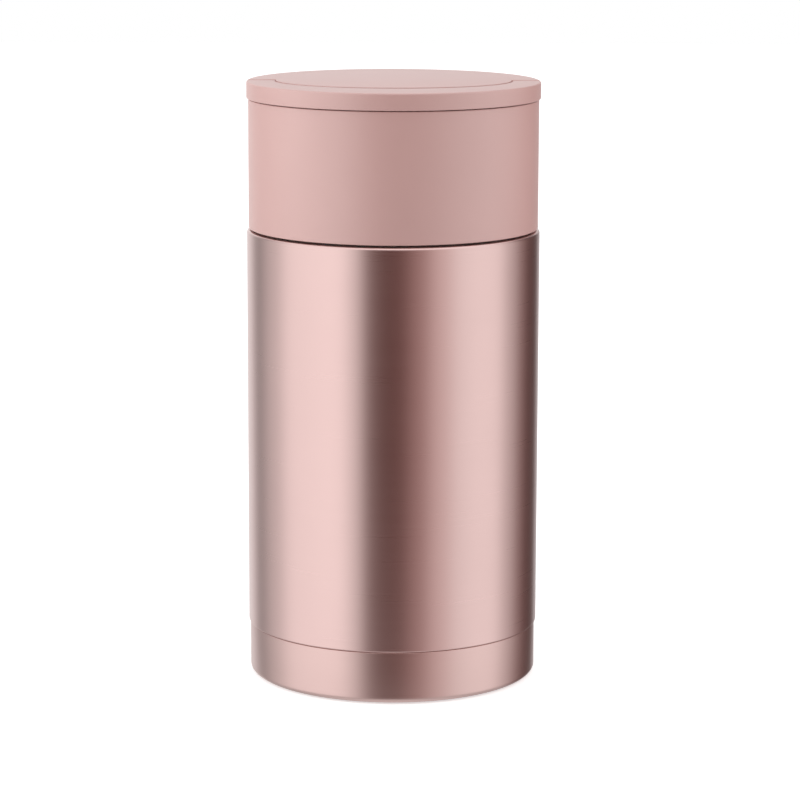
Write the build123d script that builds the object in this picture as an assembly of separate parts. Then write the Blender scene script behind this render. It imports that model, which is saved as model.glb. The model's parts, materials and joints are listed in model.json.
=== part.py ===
from build123d import *

import os
from math import radians, tan

# Insulated food jar. A double-walled steel jar with a vacuum between its walls, a screw stopper with
# a push-button vent, and a screw lid with a half-ring carry handle folded flat into its top.
# Millimetres, +Z up. The origin is the centre of the bottom, on the surface that the jar stands on.
# -Y is the front, where the folded handle lies. The handle's pivots are on the X axis.

# ---- Driving dimensions ----

# Metal body
body_radius = 50.0  # outside of the lacquered outer shell
body_height = 154.5  # shoulder of the outer shell above the table
shell_wall = 0.6
vessel_wall = 0.5
vacuum_gap = 3.0  # between the shell and the vessel, along the body
neck_vacuum_gap = 1.4  # the same, inside the neck
neck_height = 17.5  # mouth above the shoulder
shoulder_edge = 1.0  # rounding of the shoulder's outer edge
neck_foot = 1.0  # rounding between the shoulder and the neck
vessel_corner = 12.0  # outside rounding of the vessel's floor
vessel_bend = 5.0  # rounding where the vessel turns in below its neck
vessel_neck_drop = 2.3  # top of the vessel's slope below the shoulder
vessel_slope = 45.0  # degrees by which that slope falls away from level
vessel_floor = 12.0  # underside of the vessel's floor above the table
lip_edge = 0.2  # rounding of the rolled mouth

# Base
base_seam_height = 18.0  # groove between the base cup and the shell
base_inset = 0.55  # the base cup is this much slimmer than the shell
base_wall = 0.6
base_corner = 2.0
base_groove = 0.15  # width of the open gap at the seam
step_edge = 0.5  # rounding where the shell steps in above the base cup
glue_gap = 0.05  # between two pieces that are glued or welded together
pad_radius = 40.5
pad_thickness = 2.0
pad_proud = 0.3  # the pad stands this much below the metal
pad_clearance = 0.3
pad_groove_depth = 0.5
pad_groove_width = 1.6
pad_groove_radii = (16.0, 24.0, 32.0)
shell_foot = 4.0  # lower edge of the shell above the table
closure_wall = 0.6
closure_rim = 2.6  # height of the closing disc, down-turned edge included
dimple_radius = 7.0
dimple_depth = 1.5
evacuation_hole = 1.0
plug_seal_radius = 5.5
plug_seal_thickness = 1.2
getter_radius = 5.0
getter_thickness = 2.0
getter_place = 22.0  # centre of the getter from the jar's axis
clip_strip = 0.5
clip_width = 5.0
clip_foot = 3.0

# Lid, from the outside inwards
drum_inset = 0.6  # the lid's side is this much slimmer than the metal body
drum_wall = 1.8
lid_air_gap = 0.6
liner_wall = 1.5
liner_flange = 1.6
liner_recess = 0.3  # underside of the liner above the lower edge of the lid
lid_gap = 0.72  # shadow gap between the metal shoulder and the lid
bowl_headroom = 7.0  # inside of the lid above the stopper's rim
bowl_corner = 4.0
foam_thickness = 7.1
foam_clearance = 0.3
drum_edge = 0.3
cap_plate = 1.8
cap_wall = 2.0
cap_overhang = 0.6  # the top band stands out from the lid's side by this much
cap_edge = 0.6
cap_gap = 0.3  # shadow gap under the top band
centre_half_width = 39.95  # raised centre of the lid's top, from the jar's axis to its side
centre_reach = 30.55  # the same, to its front
centre_rise = 0.2  # raised centre above the band round it and the folded handle
centre_edge = 0.15
spigot_height = 4.5
spigot_wall = 1.2

# Carry handle
handle_thickness = 5.7
handle_gap = 0.45  # between the handle and the raised centre
knuckle_gap = 0.3  # behind the handle's knuckles
handle_wall = 2.2
handle_lower_edge = 0.3
pocket_depth = 3.2
pocket_count = 6
pocket_rib = 3.0  # degrees of arc left between two pockets
pocket_margin = 12.0  # degrees of arc left solid at each pivot
pin_radius = 1.2
pin_in_cap = 6.0  # length of the pin inside the cap, from the side of the raised centre
pin_in_handle = 6.0
pin_end_gap = 0.3
running_clearance = 0.05
boss_width = 8.0
boss_margin = 1.0

# Screw threads: quick threads with a few starts, each a short helical rib
thread_lead = 12.0
thread_starts = 3
thread_arc = 90.0
thread_depth = 1.0
thread_clearance = 0.4
thread_sink = 0.3  # ribs are rooted this deep in their wall
thread_foot = 0.3  # half the height of a rib where it leaves its wall, in pitches
thread_tip = 0.15  # the same at its crest
neck_thread_height = 6.5  # lowest point of the neck's ribs above the shoulder
lid_thread_height = 11.0  # the same, of the ribs on the stopper that hold the lid
collar_wall = 1.5
collar_drop = 0.8  # top of the collar below the mouth
collar_relief = 0.2  # more than the neck's foot is rounded, cut off inside the collar's foot

# Stopper
skirt_wall = 1.6
skirt_lift = 2.0  # lower edge of the skirt above the shoulder
seal_thickness = 2.0
seal_lip_thickness = 0.8
seal_lip_depth = 4.0
seal_inset = 0.15  # outer edge of the seal inside the edge of the mouth
seal_clearance = 0.3
deck_thickness = 3.0
rim_height = 4.0
rim_width = 6.0
rim_edge = 0.6
scallop_count = 24
scallop_radius = 2.2
scallop_offset = 1.0  # centre of each scallop outside the rim
plug_depth = 14.0
plug_wall = 1.6
stopper_base_wall = 1.5
base_spigot_height = 1.5
base_spigot_wall = 1.0
core_clearance = 0.3  # around the foam inside the plug
well_radius = 12.0
well_wall = 1.5
well_depth = 5.5
tube_radius = 6.0  # inside of the steam tube
tube_wall = 1.5

# Vent
button_proud = 2.0
button_clearance = 0.3
button_wall = 1.5
button_skirt = 3.0
button_edge = 0.8
stem_radius = 2.5
stem_tip_radius = 1.8
steam_hole_radius = 0.9
steam_hole_count = 4
steam_hole_place = 4.4
valve_radius = 8.5
valve_thickness = 1.5
valve_seal_radius = 8.0
valve_seal_thickness = 1.2
spring_radius = 8.0
spring_wire = 0.4  # radius of the wire
spring_turns = 4
spring_end_gap = 0.05

CUT = 1.0  # how far a cutting shape runs past what it cuts

# ---- Radii worked out from the driving dimensions ----

shell_skirt_radius = body_radius - base_inset - base_wall - glue_gap
base_radius = body_radius - base_inset

drum_radius = body_radius - drum_inset
drum_inner = drum_radius - drum_wall
liner_radius = drum_inner - lid_air_gap
liner_inner = liner_radius - liner_wall
stopper_radius = liner_inner - thread_clearance - thread_depth
skirt_inner = stopper_radius - skirt_wall
collar_radius = skirt_inner - thread_clearance - thread_depth
neck_radius = collar_radius - collar_wall - glue_gap

vessel_radius = body_radius - shell_wall - vacuum_gap
vessel_neck_radius = neck_radius - shell_wall - neck_vacuum_gap
mouth_radius = vessel_neck_radius - vessel_wall

seal_lip_radius = mouth_radius - seal_clearance
seal_bore = seal_lip_radius - seal_lip_thickness
plug_radius = seal_bore - seal_clearance
plug_inner = plug_radius - plug_wall
button_radius = well_radius - button_clearance

cap_radius = drum_radius + cap_overhang
spigot_radius = drum_inner - glue_gap

# ---- Heights worked out from the driving dimensions ----

base_top = base_seam_height - base_groove / 2
step_low = base_seam_height + base_groove / 2
recess_radius = pad_radius + pad_clearance

mouth_z = body_height + neck_height
deck_low = mouth_z + seal_thickness
deck_top = deck_low + deck_thickness
rim_top = deck_top + rim_height
plug_low = deck_low - plug_depth
well_floor = deck_top - well_depth
button_top = deck_top + button_proud
button_low = button_top - button_wall - button_skirt
spring_top = button_top - button_wall
valve_seat = plug_low - stopper_base_wall
valve_top = valve_seat - valve_seal_thickness
valve_low = valve_top - valve_thickness

lid_low = body_height + lid_gap
bowl_top = rim_top + bowl_headroom
foam_low = bowl_top + liner_wall + foam_clearance
foam_top = foam_low + foam_thickness
plate_low = foam_top + foam_clearance
drum_top = plate_low + cap_plate
band_low = drum_top + cap_gap
band_top = band_low + handle_thickness
cap_top = band_top + centre_rise
pivot_z = (band_low + band_top) / 2

thread_pitch = thread_lead / thread_starts


# ---- Helpers ----


def turned(*corners, arc=360):
    """A solid turned about Z from corners (radius, height) or (radius, height, rounding)."""
    points = [(corner[0], corner[1]) for corner in corners]
    rounding = [corner[2] if len(corner) > 2 else 0 for corner in corners]
    outline = FilletPolyline(*points, radius=rounding, close=True)
    return revolve(Plane.XZ * make_face(outline), Axis.Z, arc)


def ring(inner, outer, low, high):
    """A plain ring with square edges."""
    return turned((inner, low), (outer, low), (outer, high), (inner, high))


def drum(radius, low, high):
    """A plain disc or drum on the axis."""
    return turned((0, low), (radius, low), (radius, high), (0, high))


def around(count, shape):
    """Copies of a shape at equal steps about Z."""
    return [Rot(0, 0, 360 * step / count) * shape for step in range(count)]


def thread(root_radius, crest_radius, low):
    """Right-hand helical ribs that stand on a round wall, one for each start."""
    outward = 1 if crest_radius > root_radius else -1
    sunk_radius = root_radius - outward * thread_sink
    foot = thread_pitch * thread_foot
    tip = thread_pitch * thread_tip
    section = Polyline(
        (sunk_radius, -foot), (sunk_radius, foot), (crest_radius, tip), (crest_radius, -tip), close=True
    )
    path = Helix(thread_lead, thread_lead * thread_arc / 360, root_radius)
    rib = sweep(Plane.XZ * make_face(section), path=path, is_frenet=True)
    return around(thread_starts, Pos(0, 0, low) * rib)


# ---- Metal body ----


def outer_shell():
    """Lacquered steel wall: slim foot inside the base cup, straight side, shoulder and neck."""
    top = mouth_z - vessel_wall
    outside = turned(
        (0, shell_foot),
        (shell_skirt_radius, shell_foot),
        (shell_skirt_radius, step_low),
        (body_radius, step_low, step_edge),
        (body_radius, body_height, shoulder_edge),
        (neck_radius, body_height, neck_foot),
        (neck_radius, top),
        (0, top),
    )
    inside = turned(
        (0, shell_foot - CUT),
        (shell_skirt_radius - shell_wall, shell_foot - CUT),
        (shell_skirt_radius - shell_wall, step_low + shell_wall),
        (body_radius - shell_wall, step_low + shell_wall),
        (body_radius - shell_wall, body_height - shell_wall, shoulder_edge - shell_wall),
        (neck_radius - shell_wall, body_height - shell_wall, neck_foot + shell_wall),
        (neck_radius - shell_wall, top + CUT),
        (0, top + CUT),
    )
    return outside - inside


def vessel_form(inset, top):
    """The vessel's outside, or its inside when inset by the wall, up to a given height."""
    radius = vessel_radius - inset
    neck = vessel_neck_radius - inset
    floor = vessel_floor + inset
    slope_high = body_height - vessel_neck_drop - inset * tan(radians(90 - vessel_slope) / 2)
    slope_low = slope_high - (vessel_radius - vessel_neck_radius) * tan(radians(vessel_slope))
    return turned(
        (0, floor),
        (radius, floor, vessel_corner - inset),
        (radius, slope_low, vessel_bend - inset),
        (neck, slope_high, vessel_bend + inset),
        (neck, top),
        (0, top),
    )


def inner_vessel():
    """Bare steel vessel that holds the food; its rolled lip closes the top of the vacuum space."""
    lip = turned(
        (mouth_radius, mouth_z - vessel_wall),
        (neck_radius, mouth_z - vessel_wall),
        (neck_radius, mouth_z, lip_edge),
        (mouth_radius, mouth_z, lip_edge),
    )
    return vessel_form(0, mouth_z - vessel_wall) - vessel_form(vessel_wall, mouth_z + CUT) + lip


def shell_closure():
    """Disc welded into the foot of the shell; a dimple at its centre holds the evacuation hole."""
    edge = shell_skirt_radius - shell_wall
    top = shell_foot + closure_rim
    low = top - closure_wall
    slope = dimple_radius + dimple_depth
    return turned(
        (evacuation_hole, top + dimple_depth),
        (dimple_radius, top + dimple_depth),
        (slope, top),
        (edge, top, 2 * closure_wall),
        (edge, shell_foot),
        (edge - closure_wall, shell_foot),
        (edge - closure_wall, low, closure_wall),
        (slope - closure_wall / 2, low),
        (dimple_radius - closure_wall / 2, low + dimple_depth),
        (evacuation_hole, low + dimple_depth),
    )


def vacuum_seal():
    """Sealing disc soldered into the dimple, over the evacuation hole."""
    top = shell_foot + closure_rim - closure_wall + dimple_depth
    return turned(
        (0, top - plug_seal_thickness),
        (plug_seal_radius, top - plug_seal_thickness, plug_seal_thickness / 3),
        (plug_seal_radius, top),
        (0, top),
    )


def getter():
    """Pill that takes up gas left in the vacuum space."""
    low = shell_foot + closure_rim
    return Pos(getter_place, 0, low + getter_thickness / 2) * Cylinder(getter_radius, getter_thickness)


def getter_clip():
    """Steel strip spot-welded over the getter."""
    low = shell_foot + closure_rim
    half = getter_radius + glue_gap
    strip = Polyline(
        (-half - clip_foot, low),
        (-half, low),
        (-half, low + getter_thickness),
        (half, low + getter_thickness),
        (half, low),
        (half + clip_foot, low),
        (half + clip_foot, low + clip_strip),
        (half + clip_strip, low + clip_strip),
        (half + clip_strip, low + getter_thickness + clip_strip),
        (-half - clip_strip, low + getter_thickness + clip_strip),
        (-half - clip_strip, low + clip_strip),
        (-half - clip_foot, low + clip_strip),
        close=True,
    )
    bent = extrude(Plane.XZ * make_face(strip), amount=clip_width / 2, both=True)
    return Pos(getter_place, 0, 0) * bent


def base_cup():
    """Lacquered steel cup over the foot of the shell, with a round recess below for the pad."""
    inner = base_radius - base_wall
    return turned(
        (0, pad_thickness),
        (recess_radius, pad_thickness),
        (recess_radius, pad_proud, base_wall / 3),
        (base_radius, pad_proud, base_corner),
        (base_radius, base_top, base_wall * 2 / 3),
        (inner, base_top),
        (inner, pad_proud + base_wall, base_corner - base_wall),
        (recess_radius + base_wall, pad_proud + base_wall),
        (recess_radius + base_wall, pad_thickness + base_wall),
        (0, pad_thickness + base_wall),
    )


def base_pad():
    """Non-slip pad with ring grooves, glued into the base cup's recess."""
    pad = turned((0, 0), (pad_radius, 0, pad_groove_depth), (pad_radius, pad_thickness), (0, pad_thickness))
    half = pad_groove_width / 2
    grooves = [ring(radius - half, radius + half, -CUT, pad_groove_depth) for radius in pad_groove_radii]
    return pad - grooves


def neck_collar():
    """Plastic collar bonded round the steel neck, with the threads that hold the stopper."""
    bore = neck_radius + glue_gap
    low = body_height
    high = mouth_z - collar_drop
    relief = neck_foot + collar_relief
    collar = turned(
        (bore + relief, low),
        (collar_radius, low),
        (collar_radius, high, collar_wall / 4),
        (bore, high),
        (bore, low + relief),
    )
    return collar + thread(collar_radius, collar_radius + thread_depth, low + neck_thread_height)


# ---- Stopper ----


def stopper_seal():
    """Soft ring between the stopper and the mouth, with a lip that hangs inside the mouth."""
    return turned(
        (seal_bore, mouth_z - seal_lip_depth),
        (seal_lip_radius, mouth_z - seal_lip_depth, seal_lip_thickness / 3),
        (seal_lip_radius, mouth_z),
        (neck_radius - seal_inset, mouth_z),
        (neck_radius - seal_inset, deck_low),
        (seal_bore, deck_low),
    )


def stopper_body():
    """Moulded stopper: threaded skirt outside the neck, hollow plug inside it, deck and grip rim."""
    skirt = turned(
        (skirt_inner, body_height + skirt_lift),
        (stopper_radius, body_height + skirt_lift, skirt_wall / 4),
        (stopper_radius, rim_top, rim_edge),
        (stopper_radius - rim_width, rim_top, rim_edge),
        (stopper_radius - rim_width, deck_top),
        (0, deck_top),
        (0, deck_low),
        (skirt_inner, deck_low),
    )
    plug = ring(plug_inner, plug_radius, plug_low, deck_low + CUT)
    well = drum(well_radius + well_wall, well_floor - well_wall, deck_low + CUT)
    tube = ring(tube_radius, tube_radius + tube_wall, plug_low, well_floor - well_wall / 2)
    neck_ribs = thread(
        skirt_inner, skirt_inner - thread_depth, body_height + neck_thread_height - thread_pitch / 2
    )
    lid_ribs = thread(stopper_radius, stopper_radius + thread_depth, body_height + lid_thread_height)

    well_space = drum(well_radius, well_floor, deck_top + CUT)
    stem_bore = drum(stem_radius + running_clearance, well_floor - well_wall - CUT, well_floor + CUT)
    steam_hole = Pos(steam_hole_place, 0, well_floor) * Cylinder(steam_hole_radius, 2 * (well_wall + CUT))
    scallop_z = rim_top - rim_height / 2 + CUT
    scallop = Pos(stopper_radius + scallop_offset, 0, scallop_z) * Cylinder(scallop_radius, rim_height)
    steam_holes = around(steam_hole_count, steam_hole)
    scallops = around(scallop_count, scallop)
    body = skirt + plug + well + tube + neck_ribs + lid_ribs
    return body - well_space - stem_bore - steam_holes - scallops


def stopper_base():
    """Plate welded under the plug, open at its centre for the steam, with a locating ring above."""
    plate = turned(
        (tube_radius, valve_seat),
        (plug_radius, valve_seat, stopper_base_wall / 2),
        (plug_radius, plug_low),
        (tube_radius, plug_low),
    )
    outer = plug_inner - glue_gap
    low = plug_low - stopper_base_wall / 2
    return plate + ring(outer - base_spigot_wall, outer, low, plug_low + base_spigot_height)


def stopper_foam():
    """Insulation that fills the plug round the steam tube and the button's well."""
    outer = plug_inner - glue_gap - base_spigot_wall - core_clearance
    tube = tube_radius + tube_wall + core_clearance
    well = well_radius + well_wall + core_clearance
    low = plug_low + core_clearance
    step = well_floor - well_wall - core_clearance
    high = deck_low - core_clearance
    return turned((tube, low), (outer, low), (outer, high), (well, high), (well, step), (tube, step))


def vent_button():
    """Push button with its stem, which runs down through the plug to the valve."""
    return turned(
        (0, button_top),
        (button_radius, button_top, button_edge),
        (button_radius, button_low),
        (button_radius - button_wall, button_low),
        (button_radius - button_wall, spring_top),
        (stem_radius, spring_top),
        (stem_radius, valve_top),
        (stem_tip_radius, valve_top),
        (stem_tip_radius, valve_low),
        (0, valve_low),
    )


def vent_spring():
    """Coil spring in the well that pushes the button up and the valve shut."""
    low = well_floor + spring_wire + spring_end_gap
    height = spring_top - spring_wire - spring_end_gap - low
    path = Helix(height / spring_turns, height, spring_radius)
    section = Plane(path @ 0, z_dir=path % 0) * Circle(spring_wire)
    return Pos(0, 0, low) * sweep(section, path=path, is_frenet=True)


def vent_valve():
    """Foot of the vent, pressed onto the tip of the button's stem below the plug."""
    return turned(
        (stem_tip_radius, valve_low),
        (valve_radius, valve_low, valve_thickness / 2),
        (valve_radius, valve_top),
        (stem_tip_radius, valve_top),
    )


def valve_seal():
    """Soft washer that closes the steam hole from below."""
    return ring(stem_radius, valve_seal_radius, valve_top, valve_seat)


# ---- Lid ----


def lid_drum():
    """Outside of the lid: a plain moulded tube."""
    return turned(
        (drum_inner, lid_low),
        (drum_radius, lid_low, drum_edge),
        (drum_radius, drum_top, drum_edge),
        (drum_inner, drum_top),
    )


def lid_liner():
    """Inside of the lid: an upturned bowl with the threads that fit the stopper."""
    flange = drum_inner - glue_gap
    low = lid_low + liner_recess
    bowl = turned(
        (0, bowl_top + liner_wall),
        (liner_radius, bowl_top + liner_wall, bowl_corner),
        (liner_radius, low + liner_flange),
        (flange, low + liner_flange),
        (flange, low),
        (liner_inner, low, liner_flange / 4),
        (liner_inner, bowl_top, bowl_corner),
        (0, bowl_top),
    )
    ribs_low = body_height + lid_thread_height - thread_pitch / 2
    return bowl + thread(liner_inner, liner_inner - thread_depth, ribs_low)


def lid_foam():
    """Insulating disc between the lid's bowl and its top."""
    return drum(spigot_radius - spigot_wall - foam_clearance, foam_low, foam_top)


def centre_form(growth, low, high):
    """Upright form of the lid's raised centre: round behind the pivots, half an oval in front of them."""
    half_width = centre_half_width + growth
    rear = CenterArc((0, 0), half_width, 0, 180)
    front = EllipticalCenterArc((0, 0), half_width, centre_reach + growth, 180, arc_size=180)
    return extrude(Plane.XY.offset(low) * make_face([rear, front]), amount=high - low)


def rounded_top(form, radius):
    """A form with the edges of its top face rounded."""
    return fillet(form.faces().sort_by(Axis.Z)[-1].edges(), radius)


def lid_cap():
    """Top of the lid: raised centre, ledge under the handle, and the fixed rear half of the band.

    The band's ends leave room behind the handle's knuckles and are rounded off towards them.
    """
    ledge = turned(
        (0, drum_top),
        (spigot_radius, drum_top),
        (spigot_radius, plate_low - spigot_height),
        (spigot_radius - spigot_wall, plate_low - spigot_height),
        (spigot_radius - spigot_wall, plate_low),
        (0, plate_low),
    )
    centre = rounded_top(centre_form(0, plate_low, cap_top), centre_edge)
    hollow = rounded_top(centre_form(-cap_wall, plate_low - CUT, cap_top - cap_wall), cap_wall / 2)
    rear_band = turned(
        (centre_half_width - cap_wall / 2, drum_top - cap_plate / 2),
        (spigot_radius, drum_top - cap_plate / 2),
        (spigot_radius, band_low),
        (cap_radius, band_low, handle_lower_edge),
        (cap_radius, band_top, cap_edge),
        (centre_half_width - cap_wall / 2, band_top),
        arc=180,
    )
    room = handle_thickness / 2 + knuckle_gap
    outline = FilletPolyline(
        (-room, drum_top),
        (room, drum_top),
        (room, band_top),
        (room + 2 * cap_edge, band_top),
        (room + 2 * cap_edge, cap_top + CUT),
        (-room, cap_top + CUT),
        radius=[0, 0, cap_edge, 0, 0, 0],
        close=True,
    )
    slot = extrude(Plane.YZ * make_face(outline), amount=cap_radius + CUT, both=True)
    slot = slot - centre_form(0, drum_top - CUT, cap_top + 2 * CUT)

    boss_low = pivot_z - pin_radius - boss_margin
    boss_height = cap_top - cap_wall / 2 - boss_low
    boss_length = pin_in_cap + boss_margin
    boss_middle = centre_half_width - cap_wall / 2 - boss_length / 2
    bosses = [
        Pos(side * boss_middle, 0, boss_low + boss_height / 2) * Box(boss_length, boss_width, boss_height)
        for side in (-1, 1)
    ]
    return ledge + centre + (rear_band - slot) - hollow + bosses - pins(pin_radius, 0)


# ---- Handle ----


def pins(radius, extra):
    """The two pivot pins on the X axis, or the holes for them."""
    length = pin_in_cap + handle_gap + pin_in_handle + extra
    middle = centre_half_width - pin_in_cap + length / 2
    return [Pos(side * middle, 0, pivot_z) * Rot(0, 90, 0) * Cylinder(radius, length) for side in (-1, 1)]


def carry_handle():
    """Half ring round the lid's raised centre, with rounded knuckles, cored out from below."""
    plate = turned(
        (0, band_low),
        (cap_radius, band_low, handle_lower_edge),
        (cap_radius, band_top, cap_edge),
        (0, band_top),
    )
    front = Pos(0, -cap_radius, pivot_z) * Box(2 * cap_radius, 2 * cap_radius, 2 * handle_thickness)
    opening = centre_form(handle_gap, band_low - CUT, band_top + CUT)
    half_ring = (plate & front) - opening
    inner_edge = half_ring.edges().sort_by_distance((0, -centre_reach, band_top))[0]
    half_ring = fillet(inner_edge, centre_edge)
    knuckles = Pos(0, 0, pivot_z) * Rot(0, 90, 0) * Cylinder(handle_thickness / 2, 2 * cap_radius)
    handle = half_ring + ((knuckles & plate) - opening)

    step = (180 - 2 * pocket_margin + pocket_rib) / pocket_count
    pocket = turned(
        (0, band_low - CUT),
        (cap_radius - handle_wall, band_low - CUT),
        (cap_radius - handle_wall, band_low + pocket_depth),
        (0, band_low + pocket_depth),
        arc=step - pocket_rib,
    )
    inner_wall = centre_form(handle_gap + handle_wall, band_low - 2 * CUT, band_top)
    turns = [180 + pocket_margin + index * step for index in range(pocket_count)]
    pockets = [Rot(0, 0, turn) * pocket - inner_wall for turn in turns]
    return handle - pockets - pins(pin_radius + running_clearance, pin_end_gap)


def handle_pins():
    """Two steel pins pressed into the lid's top, on which the handle turns."""
    return Compound(children=[pin for pin in pins(pin_radius, 0)])


# ---- Output ----

pieces = {
    "outer_shell": outer_shell,
    "inner_vessel": inner_vessel,
    "shell_closure": shell_closure,
    "vacuum_seal": vacuum_seal,
    "getter": getter,
    "getter_clip": getter_clip,
    "base_cup": base_cup,
    "base_pad": base_pad,
    "neck_collar": neck_collar,
    "stopper_seal": stopper_seal,
    "stopper_body": stopper_body,
    "stopper_base": stopper_base,
    "stopper_foam": stopper_foam,
    "vent_button": vent_button,
    "vent_spring": vent_spring,
    "vent_valve": vent_valve,
    "valve_seal": valve_seal,
    "lid_drum": lid_drum,
    "lid_liner": lid_liner,
    "lid_foam": lid_foam,
    "lid_cap": lid_cap,
    "carry_handle": carry_handle,
    "handle_pins": handle_pins,
}

os.makedirs("parts", exist_ok=True)
for name, build in pieces.items():
    export_step(build(), f"parts/{name}.step")
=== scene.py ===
"""Finished looks of an insulated food jar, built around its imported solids.

Metres, +Z up. The jar stands on the origin and -Y is its front, where the folded handle lies.
"""

import json
import logging
import math
from collections.abc import Sequence
from dataclasses import dataclass, replace
from enum import Enum
from functools import cache

import bmesh
import bpy
from mathutils import Matrix, Vector


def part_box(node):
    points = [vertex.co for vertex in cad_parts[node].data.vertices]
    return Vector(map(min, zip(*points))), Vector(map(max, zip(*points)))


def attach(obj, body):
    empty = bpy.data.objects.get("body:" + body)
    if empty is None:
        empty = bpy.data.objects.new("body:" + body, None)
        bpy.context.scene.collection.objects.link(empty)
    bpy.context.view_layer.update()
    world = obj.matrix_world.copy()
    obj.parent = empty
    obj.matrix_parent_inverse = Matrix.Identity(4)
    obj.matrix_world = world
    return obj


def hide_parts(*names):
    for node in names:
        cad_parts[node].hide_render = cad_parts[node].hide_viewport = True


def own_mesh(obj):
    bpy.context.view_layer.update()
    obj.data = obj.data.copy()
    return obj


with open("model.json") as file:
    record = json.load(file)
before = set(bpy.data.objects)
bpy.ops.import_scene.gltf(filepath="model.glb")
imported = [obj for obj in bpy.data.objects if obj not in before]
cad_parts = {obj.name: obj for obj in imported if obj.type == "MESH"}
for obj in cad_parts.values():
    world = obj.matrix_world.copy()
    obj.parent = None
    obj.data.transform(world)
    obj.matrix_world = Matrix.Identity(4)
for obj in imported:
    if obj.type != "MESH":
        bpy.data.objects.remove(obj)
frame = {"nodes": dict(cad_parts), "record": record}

log = logging.getLogger("food_jar")

WRAP_MAP = "wrap"
TURN = 2 * math.pi
QUARTER_TURN = math.pi / 2
MERGE_DISTANCE = 2e-6
SHARP_ANGLE = math.radians(38)
FINE_STEPS = 256
FEWEST_STEPS = 3
ROUNDING_STEPS = 6
Z_AXIS = Vector((0, 0, 1))


def add_object(name: str, data: bpy.types.ID) -> bpy.types.Object:
    """Makes an object at the origin, and links it to the scene.

    Args:
        name: Name of the object.
        data: Its mesh, lamp or camera.

    Returns:
        The object.
    """
    made = bpy.data.objects.new(name, data)
    bpy.context.scene.collection.objects.link(made)
    return made


def math_node(
    tree: bpy.types.NodeTree,
    operation: str,
    first: bpy.types.NodeSocket,
    second: bpy.types.NodeSocket | float,
) -> bpy.types.NodeSocket:
    """Adds a node that works out one value from two.

    Args:
        tree: The node tree.
        operation: What the node does with the values.
        first: Socket that gives the first value.
        second: Socket that gives the second value, or the value.

    Returns:
        The socket that gives the result.
    """
    node = tree.nodes.new("ShaderNodeMath")
    node.operation = operation
    tree.links.new(first, node.inputs[0])
    if isinstance(second, float):
        node.inputs[1].default_value = second
    else:
        tree.links.new(second, node.inputs[1])
    return node.outputs["Value"]


# ---- Turned shapes ----


@dataclass(frozen=True)
class Corner:
    """A corner of a turned outline: radius, height, and the rounding where two sides meet."""

    radius: float
    height: float
    rounding: float = 0.0


@dataclass(frozen=True)
class Extent:
    """The radius and the heights of a round CAD node."""

    radius: float
    low: float
    high: float

    @classmethod
    def of(cls, node: str) -> "Extent":
        """Reads a node's extent from the frame.

        Args:
            node: Name of the CAD node.

        Returns:
            Half the node's width, and its lowest and highest point.
        """
        low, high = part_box(node)
        return cls((high.x - low.x) / 2, low.z, high.z)


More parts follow.
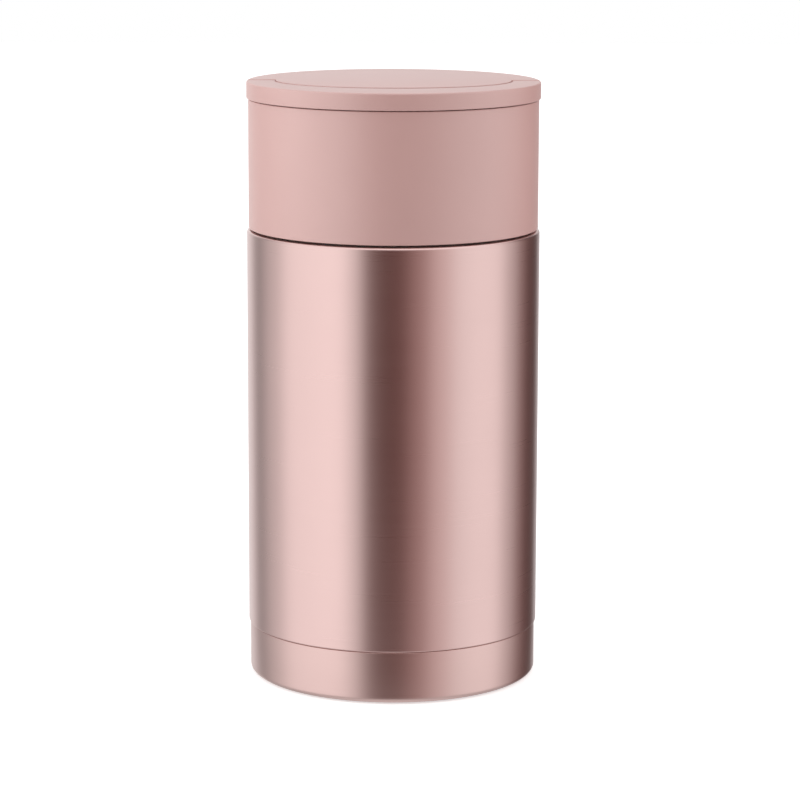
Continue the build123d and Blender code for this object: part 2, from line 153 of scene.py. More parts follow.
class Shape:
    """A mesh in the making, which ends as a piece of the jar."""

    def __init__(self, steps: int = FINE_STEPS) -> None:
        """Starts an empty mesh.

        Args:
            steps: Number of faces in a full turn.
        """
        self.steps = steps
        self.mesh = bmesh.new()

    @classmethod
    def of_node(cls, node: str) -> "Shape":
        """Starts from a copy of a CAD node's solid.

        Args:
            node: Name of the CAD node.

        Returns:
            The copy, with its triangles still loose.
        """
        shape = cls()
        shape.mesh.from_mesh(frame["nodes"][node].data)
        return shape

    def turn(self, corners: Sequence[Corner], start: float = 0.0, arc: float = TURN) -> None:
        """Turns an outline about the axis and adds the result to the mesh.

        Args:
            corners: The outline, in order. It is closed unless both its ends lie on the axis.
            start: Angle at which the turned shape begins, in radians.
            arc: Angle that it covers, in radians.
        """
        shape = bmesh.new()
        verts = [shape.verts.new((corner.radius, 0, corner.height)) for corner in corners]
        for first, second in zip(verts, verts[1:]):
            shape.edges.new((first, second))
        if corners[0].radius > 0 or corners[-1].radius > 0:
            shape.edges.new((verts[-1], verts[0]))
        for vert, corner in zip(verts, corners):
            if corner.rounding > 0:
                bmesh.ops.bevel(
                    shape,
                    geom=[vert],
                    offset=corner.rounding,
                    offset_type="OFFSET",
                    segments=ROUNDING_STEPS,
                    profile=0.5,
                    affect="VERTICES",
                    material=-1,
                )
        bmesh.ops.rotate(
            shape, verts=shape.verts[:], cent=(0, 0, 0), matrix=Matrix.Rotation(start, 3, "Z")
        )
        bmesh.ops.spin(
            shape,
            geom=shape.verts[:] + shape.edges[:],
            cent=(0, 0, 0),
            axis=Z_AXIS,
            angle=arc,
            steps=max(FEWEST_STEPS, round(self.steps * arc / TURN)),
            use_merge=math.isclose(arc, TURN),
        )
        self.add(shape)

    def add(self, shape: bmesh.types.BMesh) -> None:
        """Adds another mesh to this one and frees it.

        Args:
            shape: The mesh to add.
        """
        bmesh.ops.remove_doubles(shape, verts=shape.verts[:], dist=MERGE_DISTANCE)
        carrier = bpy.data.meshes.new("carrier")
        shape.to_mesh(carrier)
        shape.free()
        self.mesh.from_mesh(carrier)
        bpy.data.meshes.remove(carrier)

    def weld(self) -> None:
        """Merges the joints between added shapes and closes what is still open."""
        bmesh.ops.remove_doubles(self.mesh, verts=self.mesh.verts[:], dist=MERGE_DISTANCE)
        open_edges = [edge for edge in self.mesh.edges if edge.is_boundary]
        if open_edges:
            bmesh.ops.holes_fill(self.mesh, edges=open_edges, sides=0)

    def wrap(self) -> None:
        """Gives the mesh a UV map that runs round the axis in U and up it in V."""
        layer = self.mesh.loops.layers.uv.new(WRAP_MAP)
        for face in self.mesh.faces:
            centre = face.calc_center_median()
            middle = math.atan2(centre.y, centre.x) / TURN
            for loop in face.loops:
                place = loop.vert.co
                around = math.atan2(place.y, place.x) / TURN
                around += round(middle - around)
                if place.xy.length < MERGE_DISTANCE:
                    around = middle
                loop[layer].uv = (around, place.z + place.xy.length)

    def piece(self, name: str, finish: "Finish", *nodes: str) -> bpy.types.Object:
        """Turns the mesh into a finished piece that rides with the CAD nodes it stands for.

        Args:
            name: Name of the piece.
            finish: Its finish.
            nodes: The CAD nodes that it stands for, all on one body.

        Returns:
            The piece, at the origin, with its place in its mesh.
        """
        self.weld()
        bmesh.ops.recalc_face_normals(self.mesh, faces=self.mesh.faces[:])
        for face in self.mesh.faces:
            face.smooth = True
        for edge in self.mesh.edges:
            edge.smooth = not edge.is_manifold or edge.calc_face_angle() < SHARP_ANGLE
        self.wrap()
        data = bpy.data.meshes.new(name)
        self.mesh.to_mesh(data)
        self.mesh.free()
        data.materials.append(finish.material())
        made = add_object(name, data)
        record = frame["record"]
        body = next(body for body, owned in record["behaviour"]["bodies"].items() if nodes[0] in owned)
        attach(made, body)
        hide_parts(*nodes)
        log.info("%s: %s on %s, in %s", name, ", ".join(nodes), body, finish.name)
        return made


# ---- Finishes ----

# Noise keeps near its middle. These are the parts of it that the colour and the gloss are spread over.
CLOUD_RANGE = (0.3, 0.7)
GRAIN_RANGE = (0.25, 0.75)

CLOUD_DETAIL = 3.0
BRUSH_DETAIL = 4.0
GRAIN_DETAIL = 2.0

# A brush line is drawn out round the axis by one over this share.
BRUSH_STRETCH = 0.006

# Quarter turn from the wrap's U, which runs round the axis, as a share of a turn.
ACROSS_WRAP = 0.25


class Grain(Enum):
    """The fine relief of a surface."""

    BRUSHED = "lines that run round the axis"
    SPARK = "the even sparkle of a spark-eroded mould"
    CELLS = "the closed beads of expanded foam"
    SMOOTH = "hardly any relief"


@dataclass(frozen=True)
class Finish:
    """A procedural material.

    Attributes:
        name: Name, without the ending that all finishes share.
        colour: Mean base colour.
        roughness: Mean roughness.
        grain: Kind of fine relief.
        grain_size: Size of the relief's features, in metres.
        grain_depth: Height of the relief, in metres.
        colour_spread: Share by which the colour goes up and down from place to place.
        spread_size: Size of such a place, in metres.
        roughness_spread: How far the roughness goes up and down with the relief.
    """

    name: str
    colour: tuple[float, float, float]
    roughness: float
    grain: Grain
    grain_size: float
    grain_depth: float
    metallic: float = 0.0
    colour_spread: float = 0.04
    spread_size: float = 0.03
    roughness_spread: float = 0.06
    specular: float = 0.5
    coat: float = 0.0
    coat_roughness: float = 0.1
    anisotropy: float = 0.0
    ior: float = 1.5
    sheen: float = 0.0
    sheen_roughness: float = 0.5
    subsurface: float = 0.0
    subsurface_scale: float = 0.002

    @cache
    def material(self) -> bpy.types.Material:
        """Builds the material once, and returns it."""
        made = bpy.data.materials.new(f"{self.name}_finish")
        made.use_nodes = True
        made.diffuse_color = (*self.colour, 1.0)
        self._dress(made.node_tree)
        return made

    def _dress(self, tree: bpy.types.NodeTree) -> None:
        """Lays out the nodes.

        Args:
            tree: The material's node tree.
        """
        shader = tree.nodes["Principled BSDF"]
        shader.inputs["Metallic"].default_value = self.metallic
        shader.inputs["Specular IOR Level"].default_value = self.specular
        shader.inputs["Coat Weight"].default_value = self.coat
        shader.inputs["Coat Roughness"].default_value = self.coat_roughness
        shader.inputs["Anisotropic"].default_value = self.anisotropy
        shader.inputs["Anisotropic Rotation"].default_value = ACROSS_WRAP if self.anisotropy else 0.0
        shader.inputs["IOR"].default_value = self.ior
        shader.inputs["Sheen Weight"].default_value = self.sheen
        shader.inputs["Sheen Roughness"].default_value = self.sheen_roughness
        shader.inputs["Subsurface Weight"].default_value = self.subsurface
        shader.inputs["Subsurface Scale"].default_value = self.subsurface_scale

        place = tree.nodes.new("ShaderNodeTexCoord").outputs["Object"]
        cloud = self._noise(tree, place, 1 / self.spread_size, CLOUD_DETAIL)
        fine = self._relief(tree, place)

        ramp = tree.nodes.new("ShaderNodeValToRGB")
        spreads = (1 - self.colour_spread, 1 + self.colour_spread)
        for stop, position, spread in zip(ramp.color_ramp.elements, CLOUD_RANGE, spreads):
            stop.position = position
            stop.color = (*(min(1.0, channel * spread) for channel in self.colour), 1.0)
        tree.links.new(cloud, ramp.inputs["Fac"])
        tree.links.new(ramp.outputs["Color"], shader.inputs["Base Color"])

        gloss = tree.nodes.new("ShaderNodeMapRange")
        gloss.inputs["From Min"].default_value = GRAIN_RANGE[0]
        gloss.inputs["From Max"].default_value = GRAIN_RANGE[1]
        gloss.inputs["To Min"].default_value = max(0.0, self.roughness - self.roughness_spread)
        gloss.inputs["To Max"].default_value = min(1.0, self.roughness + self.roughness_spread)
        tree.links.new(fine, gloss.inputs["Value"])
        tree.links.new(gloss.outputs["Result"], shader.inputs["Roughness"])

        bump = tree.nodes.new("ShaderNodeBump")
        bump.inputs["Strength"].default_value = 1.0
        bump.inputs["Distance"].default_value = self.grain_depth
        tree.links.new(fine, bump.inputs["Height"])
        tree.links.new(bump.outputs["Normal"], shader.inputs["Normal"])

        if self.anisotropy:
            tangent = tree.nodes.new("ShaderNodeTangent")
            tangent.direction_type = "UV_MAP"
            tangent.uv_map = WRAP_MAP
            tree.links.new(tangent.outputs["Tangent"], shader.inputs["Tangent"])

    def _relief(self, tree: bpy.types.NodeTree, place: bpy.types.NodeSocket) -> bpy.types.NodeSocket:
        """Makes the surface's fine relief.

        Args:
            tree: The material's node tree.
            place: The coordinates that the relief is laid on.

        Returns:
            A height from 0 to 1.
        """
        if self.grain is Grain.BRUSHED:
            stretch = tree.nodes.new("ShaderNodeMapping")
            stretch.inputs["Scale"].default_value = (BRUSH_STRETCH, BRUSH_STRETCH, 1.0)
            tree.links.new(place, stretch.inputs["Vector"])
            return self._noise(tree, stretch.outputs["Vector"], 1 / self.grain_size, BRUSH_DETAIL)
        if self.grain is Grain.CELLS:
            cells = tree.nodes.new("ShaderNodeTexVoronoi")
            cells.inputs["Scale"].default_value = 1 / self.grain_size
            tree.links.new(place, cells.inputs["Vector"])
            return cells.outputs["Distance"]
        return self._noise(tree, place, 1 / self.grain_size, GRAIN_DETAIL)

    @staticmethod
    def _noise(
        tree: bpy.types.NodeTree, place: bpy.types.NodeSocket, scale: float, detail: float
    ) -> bpy.types.NodeSocket:
        """Adds a noise texture.

        Args:
            tree: The material's node tree.
            place: The coordinates that it reads.
            scale: Number of features in a metre.
            detail: Number of finer octaves.

        Returns:
            Its value, from 0 to 1.
        """
        noise = tree.nodes.new("ShaderNodeTexNoise")
        noise.inputs["Scale"].default_value = scale
        noise.inputs["Detail"].default_value = detail
        tree.links.new(place, noise.inputs["Vector"])
        return noise.outputs["Fac"]


ROSE_LACQUER = Finish(
    "rose_lacquer",
    colour=(0.80, 0.568, 0.542),
    roughness=0.29,
    grain=Grain.BRUSHED,
    grain_size=0.0004,
    grain_depth=0.0000002,
    metallic=1.0,
    colour_spread=0.012,
    roughness_spread=0.02,
    coat=0.2,
    coat_roughness=0.2,
    anisotropy=0.5,
)
PINK_PLASTIC = Finish(
    "pink_plastic",
    colour=(0.585, 0.340, 0.315),
    roughness=0.42,
    grain=Grain.SPARK,
    grain_size=0.00030,
    grain_depth=0.000003,
    colour_spread=0.015,
    roughness_spread=0.03,
    specular=1.0,
    coat=0.5,
    coat_roughness=0.4,
    ior=1.6,
    sheen=0.04,
    sheen_roughness=0.3,
)
BASE_LACQUER = replace(ROSE_LACQUER, name="base_lacquer", colour=(0.77, 0.545, 0.515), roughness=0.34)
BARE_STEEL = Finish(
    "bare_steel",
    colour=(0.64, 0.63, 0.61),
    roughness=0.26,
    grain=Grain.BRUSHED,
    grain_size=0.0004,
    grain_depth=0.000002,
    metallic=1.0,
    colour_spread=0.03,
    anisotropy=0.5,
)
DRAWN_STEEL = Finish(
    "drawn_steel",
    colour=(0.56, 0.55, 0.54),
    roughness=0.32,
    grain=Grain.SPARK,
    grain_size=0.0008,
    grain_depth=0.000004,
    metallic=1.0,
)
PALE_PLASTIC = Finish(
    "pale_plastic",
    colour=(0.74, 0.72, 0.69),
    roughness=0.40,
    grain=Grain.SPARK,
    grain_size=0.0003,
    grain_depth=0.000006,
    colour_spread=0.015,
    subsurface=0.08,
)
GREY_PLASTIC = Finish(
    "grey_plastic",
    colour=(0.33, 0.32, 0.32),
    roughness=0.42,
    grain=Grain.SPARK,
    grain_size=0.0003,
    grain_depth=0.000006,
)
SILICONE = Finish(
    "silicone",
    colour=(0.66, 0.64, 0.62),
    roughness=0.48,
    grain=Grain.SMOOTH,
    grain_size=0.0015,
    grain_depth=0.000008,
    subsurface=0.25,
    specular=0.4,
)
PAD_RUBBER = Finish(
    "pad_rubber",
    colour=(0.085, 0.08, 0.08),
    roughness=0.68,
    grain=Grain.SPARK,
    grain_size=0.0004,
    grain_depth=0.00002,
    colour_spread=0.12,
    specular=0.35,
)
BEAD_FOAM = Finish(
    "bead_foam",
    colour=(0.84, 0.83, 0.80),
    roughness=0.75,
    grain=Grain.CELLS,
    grain_size=0.0025,
    grain_depth=0.0002,
    subsurface=0.1,
)
SINTERED = Finish(
    "sintered_metal",
    colour=(0.22, 0.22, 0.23),
    roughness=0.62,
    grain=Grain.SPARK,
    grain_size=0.0003,
    grain_depth=0.00003,
    metallic=0.8,
    colour_spread=0.15,
)


def dress_node(node: str, finish: Finish) -> None:
    """Gives a flat-sided CAD node its finish, with its shape as it is.

    Args:
        node: Name of the CAD node.
        finish: Its finish.
    """
    materials = frame["nodes"][node].data.materials
    materials.clear()
    materials.append(finish.material())
    log.info("dressed %s in %s", node, finish.name)


def smooth_copy(node: str, finish: Finish) -> bpy.types.Object:
    """Makes a smooth-shaded piece in the shape of a CAD node.

    Args:
        node: Name of the CAD node.
        finish: Its finish.

    Returns:
        The piece.
    """
    return Shape.of_node(node).piece(f"{node}_piece", finish, node)


# ---- The jar ----


@dataclass(frozen=True)
class Oval:
    """Outline of the lid's raised centre: round behind the pivots, half an oval in front of them."""

    half_width: float
    reach: float

    def press(self, mesh: bmesh.types.BMesh, limit: float) -> None:
        """Moves the walls in front of the pivots from their circles onto the oval.

        Each wall stays as far from the oval as it is at the sides.

        Args:
            mesh: The mesh, turned about the axis.
            limit: Radius from which nothing is moved.
        """
        for vert in mesh.verts:
            radius = vert.co.xy.length
            if vert.co.y > -MERGE_DISTANCE or not MERGE_DISTANCE < radius < limit:
                continue
            reach = self.reach + radius - self.half_width
            vert.co.xy /= math.hypot(vert.co.x / radius, vert.co.y / reach)


CENTRE = Oval(half_width=0.03995, reach=0.03055)


@dataclass
class Flask:
    """The double-walled metal body with its base cup and the collar on its neck."""

    wall: float = 0.0006
    vessel_wall: float = 0.0005
    step_low: float = 0.018075
    step_depth: float = 0.0012
    step_edge: float = 0.0005
    shoulder: float = 0.1545
    shoulder_edge: float = 0.0010
    neck_radius: float = 0.03955
    neck_foot: float = 0.001
    base_corner: float = 0.002
    base_rim_edge: float = 0.0004
    recess_radius: float = 0.0408
    recess_ceiling: float = 0.002
    recess_edge: float = 0.0002
    vessel_corner: float = 0.012
    vessel_bend: float = 0.005
    vessel_neck: float = 0.03755
    slope_high: float = 0.1522
    lip_width: float = 0.0025
    lip_edge: float = 0.0002

    def build(self) -> None:
        """Builds the metal pieces and dresses the others."""
        self._shell()
        self._base_cup()
        self._vessel()
        smooth_copy("shell_closure", DRAWN_STEEL)
        smooth_copy("vacuum_seal", DRAWN_STEEL)
        smooth_copy("getter", SINTERED)
        dress_node("getter_clip", DRAWN_STEEL)
        smooth_copy("base_pad", PAD_RUBBER)
        smooth_copy("neck_collar", PALE_PLASTIC)

    def _shell(self) -> None:
        """Builds the lacquered outer wall with its shoulder and neck."""
        size = Extent.of("outer_shell")
        wall = self.wall
        foot = size.radius - self.step_depth
        step = self.step_low + wall
        shell = Shape()
        shell.turn(
            [
                Corner(foot, size.low),
                Corner(foot, self.step_low),
                Corner(size.radius, self.step_low, self.step_edge),
                Corner(size.radius, self.shoulder, self.shoulder_edge),
                Corner(self.neck_radius, self.shoulder, self.neck_foot),
                Corner(self.neck_radius, size.high),
                Corner(self.neck_radius - wall, size.high),
                Corner(self.neck_radius - wall, self.shoulder - wall, self.neck_foot),
                Corner(size.radius - wall, self.shoulder - wall, self.shoulder_edge - wall),
                Corner(size.radius - wall, step),
                Corner(foot - wall, step),
                Corner(foot - wall, size.low),
            ]
        )
        shell.piece("body_shell", ROSE_LACQUER, "outer_shell")

    def _base_cup(self) -> None:
        """Builds the lacquered cup over the foot of the body."""
        size = Extent.of("base_cup")
        wall = self.wall
        cup = Shape()
        cup.turn(
            [
                Corner(0, self.recess_ceiling),
                Corner(self.recess_radius, self.recess_ceiling),
                Corner(self.recess_radius, size.low, self.recess_edge),
                Corner(size.radius, size.low, self.base_corner),
                Corner(size.radius, size.high, self.base_rim_edge),
                Corner(size.radius - wall, size.high),
                Corner(size.radius - wall, size.low + wall, self.base_corner - wall),
                Corner(self.recess_radius + wall, size.low + wall),
                Corner(self.recess_radius + wall, self.recess_ceiling + wall),
                Corner(0, self.recess_ceiling + wall),
            ]
        )
        cup.piece("base_shell", BASE_LACQUER, "base_cup")

    def _vessel(self) -> None:
        """Builds the bare steel vessel with its rolled lip."""
        size = Extent.of("inner_vessel")
        wall = self.vessel_wall
        slope = size.radius - self.vessel_neck
        half_slope_angle = math.radians(45) / 2
        bend = wall * math.tan(half_slope_angle)
        lip_outer = self.vessel_neck + self.lip_width - wall
        vessel = Shape()
        vessel.turn(
            [
                Corner(0, size.low),
                Corner(size.radius, size.low, self.vessel_corner),
                Corner(size.radius, self.slope_high - slope, self.vessel_bend),
                Corner(self.vessel_neck, self.slope_high, self.vessel_bend),
                Corner(self.vessel_neck, size.high - wall),
                Corner(lip_outer, size.high - wall),
                Corner(lip_outer, size.high, self.lip_edge),
                Corner(self.vessel_neck - wall, size.high, self.lip_edge),
                Corner(self.vessel_neck - wall, self.slope_high - bend, self.vessel_bend),
                Corner(size.radius - wall, self.slope_high - slope - bend, self.vessel_bend - wall),
                Corner(size.radius - wall, size.low + wall, self.vessel_corner - wall),
                Corner(0, size.low + wall),
            ]
        )
        vessel.piece("food_vessel", BARE_STEEL, "inner_vessel")


@dataclass
class Lid:
    """The screw lid: side, bowl, insulation and top."""

    drum_wall: float = 0.0018
    drum_edge: float = 0.0003
    centre_edge: float = 0.00015
    band_low: float = 0.1993
    band_edge: float = 0.0006
    band_lower_edge: float = 0.0003
    ledge: float = 0.1990
    spigot_radius: float = 0.04755
    spigot_wall: float = 0.0012
    plate_low: float = 0.1972
    cap_wall: float = 0.002
    knuckle_room: float = 0.00315
    end_steps: int = 5

    def build(self) -> None:
        """Builds the side and the top and dresses the others."""
        self._drum()
        self._cap()
        smooth_copy("lid_liner", PALE_PLASTIC)
        smooth_copy("lid_foam", BEAD_FOAM)
        smooth_copy("handle_pins", DRAWN_STEEL)

    def _drum(self) -> None:
        """Builds the plain side of the lid."""
        size = Extent.of("lid_drum")
        inner = size.radius - self.drum_wall
        drum = Shape()
        drum.turn(
            [
                Corner(inner, size.low),
                Corner(size.radius, size.low, self.drum_edge),
                Corner(size.radius, size.high, self.drum_edge),
                Corner(inner, size.high),
            ]
        )
        drum.piece("lid_side", PINK_PLASTIC, "lid_drum")

    def _cap(self) -> None:
        """Builds the lid's top: raised centre, rear half of the band, and ledge under the handle."""
        size = Extent.of("lid_cap")
        band_top = Extent.of("carry_handle").high
        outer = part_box("lid_cap")[1].y
        hollow = CENTRE.half_width - self.cap_wall
        ceiling = size.high - self.cap_wall
        under = [
            Corner(self.spigot_radius, size.low),
            Corner(self.spigot_radius - self.spigot_wall, size.low),
            Corner(self.spigot_radius - self.spigot_wall, self.plate_low),
            Corner(hollow, self.plate_low),
            Corner(hollow, ceiling, self.cap_wall / 2),
            Corner(0, ceiling),
        ]
        centre = [
            Corner(0, size.high),
            Corner(CENTRE.half_width, size.high, self.centre_edge),
            Corner(CENTRE.half_width, band_top),
        ]
        front = [
            *centre,
            Corner(CENTRE.half_width, self.ledge),
            Corner(self.spigot_radius, self.ledge),
            *under,
        ]
        rear = [
            *centre,
            Corner(outer, band_top, self.band_edge),
            Corner(outer, self.band_low, self.band_lower_edge),
            Corner(self.spigot_radius, self.band_low),
            Corner(self.spigot_radius, self.ledge),
            *under,
        ]
        half_gap = math.asin(self.knuckle_room / CENTRE.half_width)
        cap = Shape()
        cap.turn(rear, start=half_gap, arc=math.pi - 2 * half_gap)
        cap.turn(front, start=math.pi - half_gap, arc=math.pi + 2 * half_gap)
        bmesh.ops.remove_doubles(cap.mesh, verts=cap.mesh.verts[:], dist=MERGE_DISTANCE)
        around_centre = CENTRE.half_width + self.centre_edge
        for vert in cap.mesh.verts:
            reach = vert.co.xy.length
            if reach > around_centre and vert.is_boundary and vert.co.z > self.ledge:
                vert.co.y = self.knuckle_room
                vert.co.x = math.copysign(math.sqrt(reach**2 - self.knuckle_room**2), vert.co.x)
        self._round_ends(cap.mesh, band_top)
        CENTRE.press(cap.mesh, limit=around_centre)
        cap.piece("lid_top", PINK_PLASTIC, "lid_cap")

    def _round_ends(self, mesh: bmesh.types.BMesh, band_top: float) -> None:
        """Rounds the upper edges of the band's ends, towards the handle's knuckles.

        Args:
            mesh: The cap's mesh, with the band's ends still square.
            band_top: Height of the band's top.
        """
        inner = CENTRE.half_width - MERGE_DISTANCE
        ends = self.knuckle_room + self.band_edge
        for step in range(1, self.end_steps + 1):
            turn = QUARTER_TURN * step / self.end_steps
            band = [
                face for face in mesh.faces if all(vert.co.xy.length > inner for vert in face.verts)
            ]
            edges = {edge for face in band for edge in face.edges}
            verts = {vert for face in band for vert in face.verts}
            bmesh.ops.bisect_plane(
                mesh,
                geom=[*band, *edges, *verts],
                plane_co=(0, ends - self.band_edge * math.cos(turn), 0),
                plane_no=(0, 1, 0),
                dist=MERGE_DISTANCE,
            )
        for vert in mesh.verts:
            back = ends - vert.co.y
            if vert.co.xy.length > inner and 0 < back < self.band_edge + MERGE_DISTANCE:
                fall = self.band_edge - math.sqrt(max(0.0, self.band_edge**2 - back**2))
                if vert.co.z < band_top + MERGE_DISTANCE:
                    vert.co.z = min(vert.co.z, band_top - fall)


@dataclass
class Handle:
    """The half-ring carry handle, cored out from below."""

    gap: float = 0.00045
    top_edge: float = 0.0006
    inner_edge: float = 0.00015
    lower_edge: float = 0.0003
    wall: float = 0.0022
    pocket_depth: float = 0.0032
    pocket_count: int = 6
    pocket_rib: float = math.radians(3)
    pocket_margin: float = math.radians(12)
    steps: int = 240
    nose_steps: int = 8
    nose_tip: float = 1e-4

    def build(self) -> None:
        """Builds the handle."""
        size = Extent.of("carry_handle")
        inner = CENTRE.half_width + self.gap
        handle = Shape(self.steps)
        handle.turn(
            [
                Corner(inner, size.low),
                Corner(inner + self.wall, size.low),
                Corner(size.radius - self.wall, size.low),
                Corner(size.radius, size.low, self.lower_edge),
                Corner(size.radius, size.high, self.top_edge),
                Corner(inner, size.high, self.inner_edge),
            ],
            start=math.pi,
            arc=math.pi,
        )
        self._pockets(handle.mesh, inner + self.wall, size)
        CENTRE.press(handle.mesh, limit=size.radius - 2 * self.wall)
        self._knuckles(handle.mesh, (size.low + size.high) / 2, (size.high - size.low) / 2)
        handle.piece("carry_handle_ring", PINK_PLASTIC, "carry_handle")

    def _knuckles(self, mesh: bmesh.types.BMesh, middle: float, radius: float) -> None:
        """Rounds both ends of the half ring about the pivot axis.

        Args:
            mesh: The handle's mesh, open at both ends.
            middle: Height of the pivot axis.
            radius: Radius of a knuckle.
        """
        rim = [edge for edge in mesh.edges if edge.is_boundary]
        reached, height = 0.0, 1.0
        for step in range(1, self.nose_steps + 1):
            angle = QUARTER_TURN * step / self.nose_steps
            out = radius * math.sin(angle)
            tall = max(math.cos(angle), self.nose_tip)
            grown = bmesh.ops.extrude_edge_only(mesh, edges=rim)["geom"]
            verts = [item for item in grown if isinstance(item, bmesh.types.BMVert)]
            rim = [item for item in grown if isinstance(item, bmesh.types.BMEdge)]
            for vert in verts:
                vert.co.y += out - reached
                vert.co.z = middle + (vert.co.z - middle) * tall / height
            reached, height = out, tall
        bmesh.ops.remove_doubles(mesh, verts=mesh.verts[:], dist=MERGE_DISTANCE)

    def _pockets(self, mesh: bmesh.types.BMesh, inner: float, size: Extent) -> None:
        """Sinks the pockets into the underside.

        Args:
            mesh: The handle's mesh, still round.
            inner: Radius of the pockets' inner wall.
            size: The handle's extent.
        """
        step = (math.pi - 2 * self.pocket_margin + self.pocket_rib) / self.pocket_count
        outer = size.radius - self.wall
        pockets: dict[int, list[bmesh.types.BMFace]] = {}
        for face in mesh.faces:
            centre = face.calc_center_median()
            if centre.z > size.low + MERGE_DISTANCE or not inner < centre.xy.length < outer:
                continue
            along = math.atan2(centre.y, centre.x) % TURN - math.pi - self.pocket_margin
            index, rest = divmod(along, step)
            if 0 <= index < self.pocket_count and rest < step - self.pocket_rib:
                pockets.setdefault(int(index), []).append(face)
        for faces in pockets.values():
            grown = bmesh.ops.extrude_face_region(mesh, geom=faces)["geom"]
            verts = [item for item in grown if isinstance(item, bmesh.types.BMVert)]
            bmesh.ops.translate(mesh, verts=verts, vec=(0, 0, self.pocket_depth))
            bmesh.ops.delete(mesh, geom=faces, context="FACES")


@dataclass
class Stopper:
    """The screw stopper with its seal and its push-button vent."""

    travel: float = 0.0025
    well_floor: float = 0.1715

    def build(self) -> None:
        """Dresses the stopper's pieces, and gives the spring a mesh of its own."""
        smooth_copy("stopper_body", PALE_PLASTIC)
        smooth_copy("stopper_base", PALE_PLASTIC)
        smooth_copy("stopper_foam", BEAD_FOAM)
        smooth_copy("stopper_seal", SILICONE)
        smooth_copy("vent_button", PINK_PLASTIC)
        smooth_copy("vent_valve", GREY_PLASTIC)
        smooth_copy("valve_seal", SILICONE)
        spring = smooth_copy("vent_spring", DRAWN_STEEL)
        room = Extent.of("vent_spring").high - self.well_floor
        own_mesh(spring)


# ---- The studio ----

# Shares of its green and blue that a fully warm stop lacks.
WARM_GREEN = 0.55
WARM_BLUE = 0.60


@dataclass(frozen=True)
class Panel:
    """A stop in the ring of light round the jar.

    Attributes:
        azimuth: Degrees from the front, rising towards +X.
        level: Brightness, where plain white is 1.
        warmth: How warm the light is, from 0 to 1.
    """

    azimuth: float
    level: float
    warmth: float = 0.0

    def colour(self, top: float) -> tuple[float, float, float, float]:
        """Returns the stop's colour, where the brightest stop's level is 1.

        Args:
            top: Level of the brightest stop.
        """
        share = self.level / top
        green = share * (1 - WARM_GREEN * self.warmth)
        blue = share * (1 - WARM_BLUE * self.warmth)
        return (share, green, blue, 1.0)


RING = (
    Panel(-180, 0.76),
    Panel(-170, 0.95),
    Panel(-153, 0.84),
    Panel(-131, 0.33),
    Panel(-108, 0.66),
    Panel(-85, 1.08),
    Panel(-42, 1.18),
    Panel(-30, 0.85),
    Panel(-18, 0.17, 0.6),
    Panel(-5, 0.10, 1.0),
    Panel(5, 0.12, 1.0),
    Panel(20, 0.35, 0.6),
    Panel(38, 0.71, 0.25),
    Panel(56, 0.95),
    Panel(70, 1.02),
    Panel(88, 1.02),
    Panel(106, 0.60, 0.1),
    Panel(121, 0.27, 0.5),
    Panel(132, 0.11, 0.8),
    Panel(149, 0.10, 0.5),
    Panel(166, 0.66),
    Panel(180, 0.76),
)
RING_TOP = max(panel.level for panel in RING)


@dataclass(frozen=True)
class Zone:
    """A part of the sky with an even level, which the ring fades into.

    Attributes:
        level: The even level.
        start: Upward part of the direction at which the fade begins.
        full: Upward part of the direction from which the level is even.
    """

    level: float
    start: float
    full: float


OVERHEAD = Zone(1.1, start=0.42, full=0.72)
BELOW = Zone(0.52, start=-0.45, full=-0.70)
STRAIGHT_BELOW = Zone(0.75, start=-0.78, full=-0.93)


@dataclass
class Softbox:
    """A square area lamp, aimed at the middle of the jar.

    Attributes:
        name: Name of the lamp.
        azimuth: Degrees from the front, rising towards +X.
        elevation: Degrees above the level.
        share: Part of plain white that the lamp adds to a surface that faces it.
        tint: Colour of the light.
        size: Side of the square, in metres.
        distance: Distance from the jar, in metres.
        aim: Height that it is aimed at, in metres.
    """

    name: str
    azimuth: float
    elevation: float
    share: float
    tint: tuple[float, float, float] = (1.0, 1.0, 1.0)
    size: float = 1.0
    distance: float = 1.5
    aim: float = 0.1

    def build(self) -> None:
        """Places the lamp, unseen by the camera and in reflections."""
        data = bpy.data.lights.new(self.name, "AREA")
        data.size = self.size
        data.energy = self.share * (math.pi * self.distance) ** 2
        data.color = self.tint
        lamp = add_object(self.name, data)
        turn = math.radians(self.azimuth)
        lift = math.radians(self.elevation)
        away = Vector(
            (math.sin(turn) * math.cos(lift), -math.cos(turn) * math.cos(lift), math.sin(lift))
        )
        lamp.location = away * self.distance + Z_AXIS * self.aim
        lamp.rotation_euler = away.to_track_quat("Z", "Y").to_euler()
        lamp.visible_camera = False
        lamp.visible_glossy = False


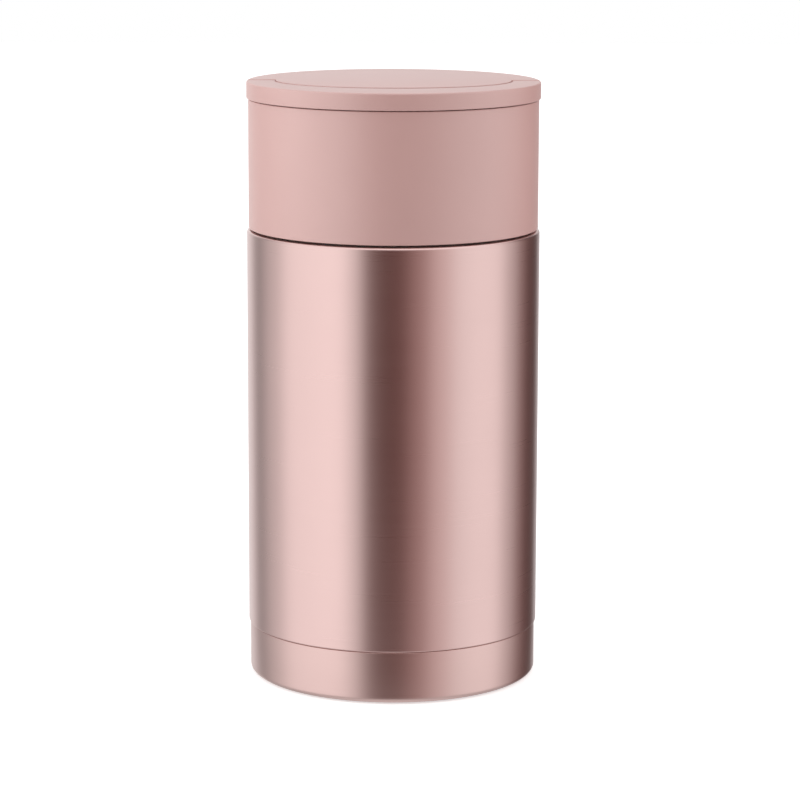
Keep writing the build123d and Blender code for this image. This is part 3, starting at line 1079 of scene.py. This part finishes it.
@dataclass
class Studio:
    """Camera, floor and soft light."""

    distance: float = 1.071
    height: float = 0.295
    aside: float = 0.00245
    tilt: float = math.radians(10.587)
    roll: float = math.radians(0.17)
    lens: float = 141.93
    sensor: float = 36.0
    nearest: float = 0.05
    farthest: float = 50.0
    floor_size: float = 6.0
    floor_colour: float = 0.8
    floor_glow: float = 0.45

    def build(self) -> None:
        """Builds the whole studio."""
        self._camera()
        self._floor()
        self._world()
        Softbox("left_box", azimuth=-86, elevation=15, share=0.46, tint=(1.0, 1.06, 1.06)).build()
        Softbox("right_box", azimuth=104, elevation=15, share=0.30).build()

    def _camera(self) -> None:
        """Places the camera in front of the jar, looking slightly down."""
        data = bpy.data.cameras.new("camera")
        data.lens = self.lens
        data.sensor_width = self.sensor
        data.clip_start = self.nearest
        data.clip_end = self.farthest
        camera = add_object("camera", data)
        camera.matrix_world = (
            Matrix.Translation((self.aside, -self.distance, self.height))
            @ Matrix.Rotation(QUARTER_TURN - self.tilt, 4, "X")
            @ Matrix.Rotation(self.roll, 4, "Z")
        )
        bpy.context.scene.camera = camera

    def _floor(self) -> None:
        """Lays a white floor that shows the jar's shadow, unseen in reflections."""
        mesh = bmesh.new()
        bmesh.ops.create_grid(mesh, x_segments=1, y_segments=1, size=self.floor_size / 2)
        data = bpy.data.meshes.new("floor")
        mesh.to_mesh(data)
        mesh.free()
        data.materials.append(self._floor_material())
        floor = add_object("floor", data)
        floor.visible_glossy = False

    def _floor_material(self) -> bpy.types.Material:
        """Makes the floor's white, which glows for the camera and is clear when seen from below.

        Returns:
            The material.
        """
        material = bpy.data.materials.new("white_floor")
        material.use_nodes = True
        tree = material.node_tree
        tree.nodes.clear()
        matt = tree.nodes.new("ShaderNodeBsdfDiffuse")
        matt.inputs["Color"].default_value = (self.floor_colour,) * 3 + (1.0,)
        glow = tree.nodes.new("ShaderNodeEmission")
        rays = tree.nodes.new("ShaderNodeLightPath")
        strength = math_node(tree, "MULTIPLY", rays.outputs["Is Camera Ray"], self.floor_glow)
        tree.links.new(strength, glow.inputs["Strength"])
        both = tree.nodes.new("ShaderNodeAddShader")
        tree.links.new(matt.outputs["BSDF"], both.inputs[0])
        tree.links.new(glow.outputs["Emission"], both.inputs[1])
        side = tree.nodes.new("ShaderNodeNewGeometry")
        clear = tree.nodes.new("ShaderNodeBsdfTransparent")
        upper = tree.nodes.new("ShaderNodeMixShader")
        tree.links.new(side.outputs["Backfacing"], upper.inputs["Fac"])
        tree.links.new(both.outputs["Shader"], upper.inputs[1])
        tree.links.new(clear.outputs["BSDF"], upper.inputs[2])
        output = tree.nodes.new("ShaderNodeOutputMaterial")
        tree.links.new(upper.outputs["Shader"], output.inputs["Surface"])
        return material

    def _world(self) -> None:
        """Makes the ring of soft light, the light above and below it, and the white background."""
        world = bpy.data.worlds.new("studio")
        bpy.context.scene.world = world
        world.use_nodes = True
        tree = world.node_tree
        tree.nodes.clear()

        towards = tree.nodes.new("ShaderNodeTexCoord")
        split = tree.nodes.new("ShaderNodeSeparateXYZ")
        tree.links.new(towards.outputs["Generated"], split.inputs["Vector"])
        sky = self._ring(tree, split)
        for zone in (OVERHEAD, BELOW, STRAIGHT_BELOW):
            sky = self._fade(tree, split, sky, zone)

        studio = tree.nodes.new("ShaderNodeBackground")
        studio.inputs["Strength"].default_value = RING_TOP
        tree.links.new(sky, studio.inputs["Color"])
        white = tree.nodes.new("ShaderNodeBackground")
        white.inputs["Color"].default_value = (1, 1, 1, 1)
        rays = tree.nodes.new("ShaderNodeLightPath")
        seen = math_node(
            tree, "MAXIMUM", rays.outputs["Is Camera Ray"], rays.outputs["Is Transmission Ray"]
        )
        mix = tree.nodes.new("ShaderNodeMixShader")
        tree.links.new(seen, mix.inputs["Fac"])
        tree.links.new(studio.outputs["Background"], mix.inputs[1])
        tree.links.new(white.outputs["Background"], mix.inputs[2])
        output = tree.nodes.new("ShaderNodeOutputWorld")
        tree.links.new(mix.outputs["Shader"], output.inputs["Surface"])

    @staticmethod
    def _ring(tree: bpy.types.NodeTree, split: bpy.types.Node) -> bpy.types.NodeSocket:
        """Lays out the light that depends on the direction round the jar.

        Args:
            tree: The world's node tree.
            split: The node that gives the direction's parts.

        Returns:
            The light's colour.
        """
        forward = math_node(tree, "MULTIPLY", split.outputs["Y"], -1.0)
        angle = math_node(tree, "ARCTAN2", split.outputs["X"], forward)
        share = tree.nodes.new("ShaderNodeMapRange")
        share.inputs["From Min"].default_value = -math.pi
        share.inputs["From Max"].default_value = math.pi
        tree.links.new(angle, share.inputs["Value"])

        ramp = tree.nodes.new("ShaderNodeValToRGB")
        ramp.color_ramp.interpolation = "EASE"
        stops = ramp.color_ramp.elements
        while len(stops) < len(RING):
            stops.new(0.5)
        for panel, stop in zip(RING, list(stops)):
            stop.position = panel.azimuth / 360 + 0.5
            stop.color = panel.colour(RING_TOP)
        tree.links.new(share.outputs["Result"], ramp.inputs["Fac"])
        return ramp.outputs["Color"]

    @staticmethod
    def _fade(
        tree: bpy.types.NodeTree,
        split: bpy.types.Node,
        sky: bpy.types.NodeSocket,
        zone: Zone,
    ) -> bpy.types.NodeSocket:
        """Fades one zone of the sky into its even level.

        Args:
            tree: The world's node tree.
            split: The node that gives the direction's parts.
            sky: The sky's colour so far.
            zone: The zone.

        Returns:
            The sky's colour with that zone.
        """
        fade = tree.nodes.new("ShaderNodeMapRange")
        fade.interpolation_type = "SMOOTHSTEP"
        fade.inputs["From Min"].default_value = zone.start
        fade.inputs["From Max"].default_value = zone.full
        tree.links.new(split.outputs["Z"], fade.inputs["Value"])
        mix = tree.nodes.new("ShaderNodeMix")
        mix.data_type = "RGBA"
        tree.links.new(fade.outputs["Result"], mix.inputs["Factor"])
        tree.links.new(sky, mix.inputs["A"])
        level = zone.level / RING_TOP
        mix.inputs["B"].default_value = (level, level, level, 1.0)
        return mix.outputs["Result"]


def main() -> None:
    """Builds the jar and its studio."""
    logging.basicConfig(level=logging.INFO, format="%(name)s: %(message)s")
    bpy.context.scene.view_settings.view_transform = "Standard"
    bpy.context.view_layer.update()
    for group in (Flask(), Stopper(), Lid(), Handle(), Studio()):
        group.build()


if __name__ == "__main__":
    main()
